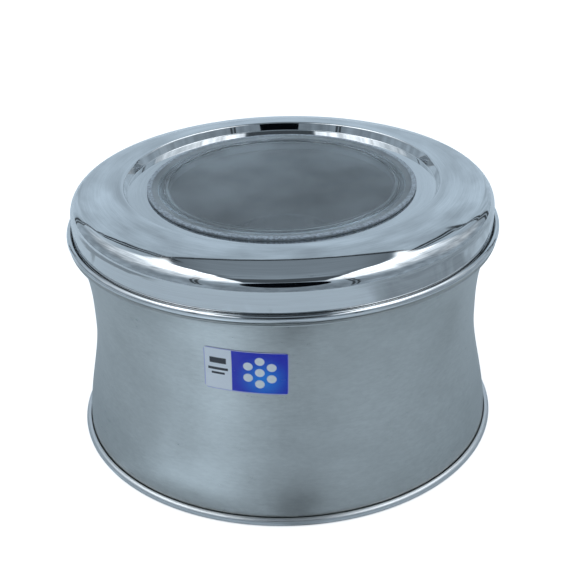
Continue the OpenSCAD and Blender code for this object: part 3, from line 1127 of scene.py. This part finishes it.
def spoon_mesh():
    """Scoop and handle as one sheet, thickened, with rounded edges."""
    spoon = bpy.context.scene.masala_spoon
    r, h, t = spoon.scoop_r, spoon.scoop_h, spoon.sheet_t
    ball = (r * r + h * h) / (2 * h)
    bowl = bpy.context.scene.masala_bowls
    far_rim_x = bowl.ring_r - BOWL_HIGH.x + bowl.roll_r
    fall = math.atan((h - t) / (spoon.away + far_rim_x - r))
    end = r + (spoon.length - 2 * r) * math.cos(fall)
    soft = 0.8 * MM

    def half_width(x):
        cup = math.sqrt(max(r * r - x * x, 0.0)) if abs(x) < r else 0.0
        if x < 0:
            return cup
        grow = min(max((x - r - 0.35 * (end - r)) / (0.65 * (end - r) - spoon.handle_w / 2), 0.0), 1.0)
        strip = spoon.neck_w / 2 + (spoon.handle_w - spoon.neck_w) / 2 * grow * grow * (3 - 2 * grow)
        left = end - x
        if left < spoon.handle_w / 2:
            inside = spoon.handle_w / 2 - left
            strip = math.sqrt(max((spoon.handle_w / 2) ** 2 - inside * inside, 0.0))
        blend = max(soft * 3 - abs(cup - strip), 0.0) / (soft * 3)
        return max(cup, strip) + blend * blend * soft * 0.75

    def level(x, y):
        """Height of the lower face."""
        inside = ball * ball - x * x - y * y
        cup = ball - math.sqrt(inside) if inside > 0 else ball
        plane = h - t - (x - r) * math.tan(fall)
        blend = max(soft - abs(cup - plane), 0.0) / soft
        return min(cup, plane) - blend * blend * soft * 0.25 if x > 0 else min(cup, h - t * 0.4)

    stations = [-r * math.cos(math.radians(a)) for a in range(2, 90, 4)]
    stations += [r * math.sin(math.radians(a)) for a in range(0, 88, 4)]
    last = end - spoon.handle_w / 2
    stations += [r + (last - r) * i / 26 for i in range(1, 27)]
    stations += [last + spoon.handle_w / 2 * math.sin(math.radians(a)) for a in (12, 24, 36, 48, 60, 70, 78, 84, 88)]
    across = 22
    shape = bmesh.new()
    turning = shape.verts.layers.float_vector.new("turning")
    place = (
        Matrix.Translation((0, 0, BOWL_HIGH.z + spoon.gap))
        @ Matrix.Rotation(spoon.turned, 4, "Z")
        @ Matrix.Translation((-spoon.away, 0, 0))
    )

    def ring(x):
        width = half_width(x)
        points = []
        for i in range(across + 1):
            y = width * math.sin(math.pi * (i / across - 0.5))
            points.append((y, level(x, y)))
        rim = []
        for k, (y, z) in enumerate(points):
            a, b = points[max(k - 1, 0)], points[min(k + 1, across)]
            way = Vector((b[0] - a[0], b[1] - a[1])).normalized()
            rim.append(Vector((y - way.y * t, z + way.x * t)))
        low = [Vector(p) for p in points]
        section = low + cap(low[-1], rim[-1], 4) + rim[::-1] + cap(rim[0], low[0], 4)
        out = []
        for p in section:
            vert = shape.verts.new(place @ Vector((x, p.x, p.y)))
            vert[turning] = (0.0, x * 8, p.x)
            out.append(vert)
        return out

    rings = [ring(x) for x in stations]
    count = len(rings[0])
    for one, two in zip(rings, rings[1:]):
        for i in range(count):
            k = (i + 1) % count
            shape.faces.new((one[i], one[k], two[k], two[i]))
    shape.faces.new(rings[0][::-1])
    shape.faces.new(rings[-1])
    bmesh.ops.recalc_face_normals(shape, faces=shape.faces)
    for face in shape.faces:
        face.smooth = True
    return meshed(shape, "spoon")


class MASALA_OT_spoon(bpy.types.Operator):
    """Press the small spoon that lies on the bowls"""

    bl_idname = "masala.spoon"
    bl_label = "Spoon"

    def execute(self, context):
        mesh = spoon_mesh()
        mesh.materials.append(spoon_steel())
        handed_in(linked("spice_spoon", mesh), "spoon", "spoon")
        return {"FINISHED"}


# ---- The stage ----


def tent_world():
    """A light tent painted by direction: cool walls, two long lamps, a roof strip and dark folds."""
    studio = bpy.context.scene.masala_studio
    world = bpy.data.worlds.new("Light tent")
    bpy.context.scene.world = world
    w = emptied(world)
    way = w.add("ShaderNodeTexCoord").outputs["Generated"]
    parts = w.split(way)
    drift = w.minus(w.noise(way, 3.2, 3.0, Distortion=0.4), 0.5)
    ripple = w.noise(w.vector("MULTIPLY", way, (1.0, 1.0, 0.22))[0], 11.0, 3.0)
    azimuth = w.azimuth(parts)
    height = w.math("DEGREES", w.math("ARCSINE", parts[2]))
    side = w.math("ABSOLUTE", azimuth)
    lift = w.most(parts[2], 0.03)
    roof_x = w.math("DIVIDE", parts[0], lift)
    roof_y = w.math("DIVIDE", parts[1], lift)
    out_x = w.math("ABSOLUTE", w.plus(roof_x, w.times(drift, 0.12)))

    # Walls of the tent: darker in front, brighter behind
    behind = w.step(side, 118.0, 150.0)
    front = w.blend(w.step(height, 2.0, 24.0), 0.36, 0.27)
    front = w.blend(w.step(height, 22.0, 48.0), front, 0.4)
    middle = w.times(w.fall(side, 22.0, 44.0), w.band(height, -2.0, 28.0, 6.0))
    front = w.blend(middle, front, 0.24)
    level = w.blend(behind, front, w.blend(w.step(height, 26.0, 48.0), 0.54, 0.46))
    level = w.times(level, w.ramp(ripple, 0.3, 0.7, 0.8, 1.2))

    # Roof strip between the lamps, its seam at the back and the dark opening at the front
    in_strip = w.times(w.fall(out_x, 0.32, 0.37), w.band(roof_y, -0.62, 0.86, 0.01))
    strip = w.blend(w.step(roof_y, -0.5, 0.8), 0.34, 0.24)
    strip = w.blend(w.step(out_x, 0.2, 0.34), strip, 0.17)
    dark_end = w.fall(w.plus(roof_y, w.times(drift, 0.3)), -0.2, -0.08)
    strip = w.blend(dark_end, strip, 0.08)
    level = w.blend(in_strip, level, strip)
    seam = w.times(w.band(roof_y, 0.84, 0.87, 0.012), w.fall(out_x, 0.36, 0.42))
    wrinkle = w.off(w.plus(roof_y, w.times(drift, 0.9)), 0.1)
    wrinkle = w.times(w.fall(wrinkle, 0.008, 0.02), w.band(out_x, 0.1, 0.3, 0.03))
    level = w.blend(w.most(seam, w.times(wrinkle, 0.8)), level, 0.03)

    # Thin dark folds: heights of both ends, azimuths there, half width and how dark
    for high, low, az_high, az_low, half, dark in (
        (53.0, 14.0, -57.0, -43.0, 2.6, 0.06),
        (55.0, 6.0, 40.5, 35.0, 2.4, 0.06),
        (50.0, 33.0, -157.0, -151.0, 1.3, 0.03),
        (33.0, 20.0, -151.0, -138.0, 2.0, 0.03),
        (20.0, -2.0, -138.0, -136.0, 2.4, 0.06),
        (50.0, 36.0, 154.0, 152.0, 1.3, 0.03),
        (36.0, 21.0, 152.0, 133.0, 3.2, 0.03),
        (21.0, -8.0, 133.0, 130.0, 3.4, 0.06),
    ):
        centre = w.ramp(height, low, high, az_low, az_high)
        off = w.off(w.plus(azimuth, w.times(drift, 5.0)), centre)
        line = w.times(w.fall(off, half * 0.75, half * 1.1), w.band(height, low, high, 1.0))
        core = w.times(w.fall(off, half * 0.1, half * 0.35), 0.8)
        level = w.blend(w.times(line, w.minus(1.0, core)), level, dark)

    # Long lamps to the left and right of the roof strip
    inner = w.step(out_x, 0.335, 0.375)
    narrow = w.times(w.most(roof_y, 0.0), 0.45)
    edge = w.plus(w.plus(out_x, narrow), w.times(drift, 0.7))
    outer = w.most(w.fall(edge, 0.55, 1.15), w.step(edge, 0.7, 1.9, 0.3, 0.0))
    ends = w.times(w.step(roof_y, -0.85, -0.62), w.fall(roof_y, 0.82, 0.87), w.step(roof_y, -0.6, 0.1, 0.5, 1.0))
    lamps = w.times(inner, outer, ends)
    patch = w.times(w.band(azimuth, 92.0, 124.0, 12.0), w.band(height, 14.0, 38.0, 8.0))
    spill = w.times(w.band(azimuth, -138.0, -86.0, 14.0), w.band(height, 26.0, 44.0, 9.0))
    lamps = w.most(lamps, w.times(w.most(patch, spill), 0.16))
    lamps = w.times(lamps, w.ramp(ripple, 0.32, 0.68, 0.45, 1.3))

    walls = w.vector("SCALE", tuple(studio.tent))
    w.feed(w.times(level, studio.level), walls[0].node.inputs["Scale"])
    bright = w.vector("SCALE", (0.97, 1.0, 1.03))
    w.feed(w.times(lamps, studio.lamp), bright[0].node.inputs["Scale"])
    tent = w.vector("ADD", walls[0], bright[0])[0]
    around = w.add("ShaderNodeBackground", {"Color": tent, "Strength": 1.0})
    page = w.add("ShaderNodeBackground", {"Color": (1.0, 1.0, 1.0, 1.0), "Strength": 1.0})
    w.add("ShaderNodeOutputWorld", {"Surface": w.for_camera(around.outputs[0], page.outputs[0])})


def floor_paper():
    """Pale paper; the camera sees it plain white with a little glow added. For the rays that the steel mirrors, it
    carries painted shade to the right, at the far left and in a narrow band in front, and painted glow near the front
    left and far out at both sides.
    """
    studio = bpy.context.scene.masala_studio
    material = bpy.data.materials.new("Floor sheet")
    w = emptied(material)
    place = w.place()
    azimuth = w.azimuth(w.split(place))
    reach = w.vector("LENGTH", place)["Value"]
    # Noise that roughens the edges and depth of the painted shade below
    shade_noise = w.noise(place, 7.0, 5.0, Distortion=1.2)
    spread = w.plus(reach, w.times(w.minus(shade_noise, 0.5), 0.5))
    # Painted shade for mirrored rays: to the right, at the far left, and (below) a narrow band in front
    right = w.times(w.band(azimuth, 38.0, 128.0, 12.0), w.step(spread, 0.2, 0.3))
    left = w.times(w.band(azimuth, -118.0, -64.0, 7.0), w.band(spread, 0.34, 0.75, 0.03))
    right = w.times(right, w.ramp(shade_noise, 0.35, 0.6, 0.25, 0.6))
    shadowed = w.most(right, w.times(left, 0.6))
    front_shade = w.times(w.band(azimuth, -4.0, 9.0, 6.0), w.band(spread, 0.15, 0.22, 0.02))
    shadowed = w.most(shadowed, w.times(front_shade, 0.8))
    # Painted glow: a near patch at the front left, seen only in mirrored rays
    gleam = w.times(w.band(azimuth, -58.0, -18.0, 9.0), w.band(spread, 0.12, 0.21, 0.02))
    paper_with_painted_shade = w.tint(shadowed, rgba(studio.floor), rgba(studio.floor, 0.2))
    shaded_paper_bsdf = w.add("ShaderNodeBsdfDiffuse", {"Color": paper_with_painted_shade})
    # Painted glow far out at both sides; both glow patches emit in the tent's colour
    away = w.times(w.step(w.math("ABSOLUTE", azimuth), 78.0, 125.0), w.step(reach, 0.16, 0.4))
    strength = w.plus(w.times(away, 0.1), w.times(gleam, 0.4))
    far_light = w.add("ShaderNodeEmission", {"Color": rgba(studio.tent), "Strength": strength})
    mirrored = w.add("ShaderNodeAddShader", {0: shaded_paper_bsdf.outputs[0], 1: far_light.outputs[0]})
    page = w.add("ShaderNodeBsdfDiffuse", {"Color": (0.8, 0.8, 0.8, 1.0)})
    glow = w.add("ShaderNodeEmission", {"Color": (1.0, 1.0, 1.0, 1.0), "Strength": 0.72})
    lit = w.add("ShaderNodeAddShader", {0: page.outputs[0], 1: glow.outputs[0]})
    w.add("ShaderNodeOutputMaterial", {"Surface": w.for_camera(mirrored.outputs[0], lit.outputs[0])})
    return material


def disc_mesh(name, radius, rings, segments):
    """A flat round sheet made of rings, closer together towards the middle."""
    shape = bmesh.new()
    middle = shape.verts.new((0.0, 0.0, 0.0))
    last = None
    for i in range(1, rings + 1):
        reach = radius * (i / rings) ** 2
        turns = [math.tau * k / segments for k in range(segments)]
        loop = [shape.verts.new((reach * math.cos(a), reach * math.sin(a), 0.0)) for a in turns]
        for k in range(segments):
            n = (k + 1) % segments
            if last:
                shape.faces.new((last[k], loop[k], loop[n], last[n]))
            else:
                shape.faces.new((middle, loop[k], loop[n]))
        last = loop
    return meshed(shape, name)


def camera_hood():
    """The dark camera and its cloth, seen only where the steel mirrors them."""
    studio = bpy.context.scene.masala_studio
    shape = bmesh.new()
    bmesh.ops.create_uvsphere(shape, u_segments=48, v_segments=24, radius=1.0)
    side, back, up = HOOD_OFFSET
    centre = Matrix.Translation((side, -studio.camera_y + back, studio.camera_z + up))
    tip = Matrix.Rotation(math.radians(HOOD_TIP), 4, "X")
    bmesh.ops.transform(shape, matrix=centre @ tip @ Matrix.Diagonal((*HOOD_HALF, 1.0)), verts=shape.verts)
    hood = linked("camera_hood", meshed(shape, "camera_hood"))
    material = bpy.data.materials.new("Hood cloth")
    w = emptied(material)
    cloth = w.add("ShaderNodeBsdfDiffuse", {"Color": (0.004, 0.005, 0.007, 1.0)})
    w.add("ShaderNodeOutputMaterial", {"Surface": cloth.outputs[0]})
    hood.data.materials.append(material)
    hood.visible_camera = False
    hood.visible_diffuse = False
    hood.visible_shadow = False
    return hood


class MASALA_OT_stage(bpy.types.Operator):
    """Set out the floor, the light tent and the camera"""

    bl_idname = "masala.stage"
    bl_label = "Stage"

    def execute(self, context):
        studio = context.scene.masala_studio
        context.scene.view_settings.view_transform = "Standard"
        tent_world()
        floor = linked("floor", disc_mesh("floor", FLOOR_R, 12, 96))
        floor.data.materials.append(floor_paper())
        camera_hood()
        camera = linked("camera", bpy.data.cameras.new("camera"))
        camera.data.lens = studio.lens
        camera.data.sensor_width = 36.0
        camera.data.clip_start = 0.01
        camera.data.clip_end = 50.0
        camera.matrix_world = (
            Matrix.Translation((0.0, -studio.camera_y, studio.camera_z))
            @ Matrix.Rotation(studio.camera_yaw, 4, "Z")
            @ Matrix.Rotation(studio.camera_pitch, 4, "X")
            @ Matrix.Rotation(studio.camera_roll, 4, "Z")
        )
        context.scene.camera = camera
        return {"FINISHED"}


# ---- Panel and registration ----

SIZES = {
    "masala_box": MasalaBoxSizes,
    "masala_lid": MasalaLidSizes,
    "masala_window": MasalaWindowSizes,
    "masala_bowls": MasalaBowlSizes,
    "masala_spoon": MasalaSpoonSizes,
    "masala_sticker": MasalaStickerSizes,
    "masala_finishes": MasalaFinishes,
    "masala_studio": MasalaStudio,
}
OPERATORS = [
    MASALA_OT_wall,
    MASALA_OT_base,
    MASALA_OT_sticker,
    MASALA_OT_lid,
    MASALA_OT_window,
    MASALA_OT_window_fixings,
    MASALA_OT_bowls,
    MASALA_OT_spoon,
    MASALA_OT_stage,
]


class MASALA_PT_panel(bpy.types.Panel):
    """Sizes, colours and the steps that make the box"""

    bl_idname = "MASALA_PT_panel"
    bl_label = "Masala Dabba"
    bl_space_type = "VIEW_3D"
    bl_region_type = "UI"
    bl_category = "Masala Dabba"

    def draw(self, context):
        for step in OPERATORS:
            self.layout.operator(step.bl_idname, text=step.bl_label)
        for key, kind in SIZES.items():
            box = self.layout.box()
            box.label(text=kind.__doc__)
            for name in kind.__annotations__:
                box.prop(getattr(context.scene, key), name)


def register():
    for kind in list(SIZES.values()) + OPERATORS + [MASALA_PT_panel]:
        bpy.utils.register_class(kind)
    for key, kind in SIZES.items():
        setattr(bpy.types.Scene, key, PointerProperty(type=kind))


def unregister():
    for key in SIZES:
        delattr(bpy.types.Scene, key)
    for kind in [MASALA_PT_panel] + OPERATORS[::-1] + list(SIZES.values())[::-1]:
        bpy.utils.unregister_class(kind)


def main():
    register()
    for step in OPERATORS:
        getattr(bpy.ops.masala, step.bl_idname.split(".")[1])()
    bpy.context.view_layer.update()


if __name__ == "__main__":
    main()
